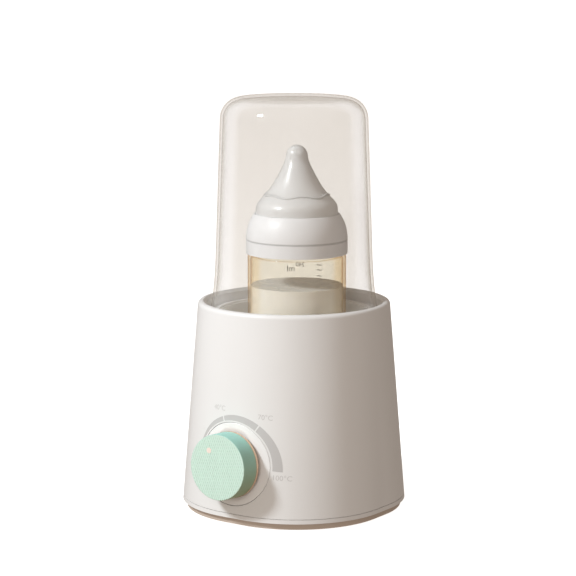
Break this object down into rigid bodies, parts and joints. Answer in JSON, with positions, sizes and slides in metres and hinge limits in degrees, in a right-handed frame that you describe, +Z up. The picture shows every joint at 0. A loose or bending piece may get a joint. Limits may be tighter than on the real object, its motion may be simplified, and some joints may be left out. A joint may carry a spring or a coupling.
{
  "type": "baby bottle warmer",
  "caption": "Tapered white warmer with a heated well, a mint temperature dial and a clear lift-off dome cover, holding a feeding bottle.",
  "frame": {"origin": "on the table, under the axis of the well", "axes": "+Z up along the well's axis; the dial faces -Y; +X is to the right as the dial is seen"},
  "size_m": [0.1408, 0.1573, 0.2696],
  "materials": {
    "housing_white": "satin moulded, fine and even",
    "tray_white": "satin moulded, the same as the housing",
    "base_sand": "matt, warm sand colour",
    "foot_rubber": "soft matt non-slip rubber",
    "screw_steel": "bright zinc",
    "well_grey": "matt pale grey moulding",
    "plate_metal": "turned, with fine rings",
    "gasket_silicone": "red-brown silicone",
    "heater_case": "extruded",
    "probe_brass": "turned",
    "wire_red": "silicone insulation",
    "wire_white": "silicone insulation",
    "board_green": "solder mask",
    "relay_black": "matt moulded",
    "capacitor_sleeve": "shrunk sleeve",
    "terminal_grey": "matt moulded",
    "bezel_white": "satin with fine turned rings",
    "knob_mint": "matt mint green, grooved face",
    "pointer_cream": "matt cream pink",
    "ring_rose_gold": "pale rose-gold metallised plastic",
    "gland_rubber": "matt off-white rubber",
    "cover_clear": "clear and glossy, with a faint warm tint",
    "bottle_amber": "clear pale amber, glossy",
    "milk_cream": "opaque liquid",
    "collar_white": "satin moulded",
    "teat_silicone": "translucent white silicone"
  },
  "bodies": {
    "warmer": {"outer_housing": "housing_white", "base_tray": "tray_white", "base_plate": "base_sand", "foot_ring": "foot_rubber", "base_screws": "screw_steel", "water_well": "well_grey", "heating_plate": "plate_metal", "plate_gasket": "gasket_silicone", "plate_retainer": "screw_steel", "retainer_screws": "screw_steel", "ptc_heater": "heater_case", "heater_strap": "screw_steel", "strap_screws": "screw_steel", "thermal_fuse": "heater_case", "temperature_probe": "probe_brass", "heater_leads": "wire_red", "probe_leads": "wire_white", "control_board": "board_green", "board_screws": "screw_steel", "board_relay": "relay_black", "board_capacitors": "capacitor_sleeve", "lead_terminals": "terminal_grey", "probe_plug": "terminal_grey", "dial_bezel": "bezel_white", "dial_control": "relay_black", "control_washer": "screw_steel", "control_nut": "screw_steel", "dial_leads": "wire_white", "supply_gland": "gland_rubber"},
    "dial": {"knob": "knob_mint", "knob_pointer": "pointer_cream", "knob_ring": "ring_rose_gold", "dial_shaft": "screw_steel"},
    "cover": {"clear_cover": "cover_clear"},
    "bottle": {"bottle_shell": "bottle_amber", "milk": "milk_cream", "bottle_collar": "collar_white", "teat": "teat_silicone"}
  },
  "joints": [
    {"name": "dial_turn", "type": "hinge", "parent": "warmer", "child": "dial", "pos_m": [0, -0.06828, 0.0398], "axis": [0, 0.9982, -0.0608], "range_deg": [-58, 122]},
    {"name": "cover_lift", "type": "slide", "parent": "warmer", "child": "cover", "axis": [0, 0, 1], "range_m": [0, 0.3]},
    {"name": "bottle_lift", "type": "slide", "parent": "warmer", "child": "bottle", "axis": [0, 0, 1], "range_m": [0, 0.15]}
  ],
  "couplings": [
    {"joint": "bottle_lift", "follows": "cover_lift", "ratio": 0.5}
  ]
}
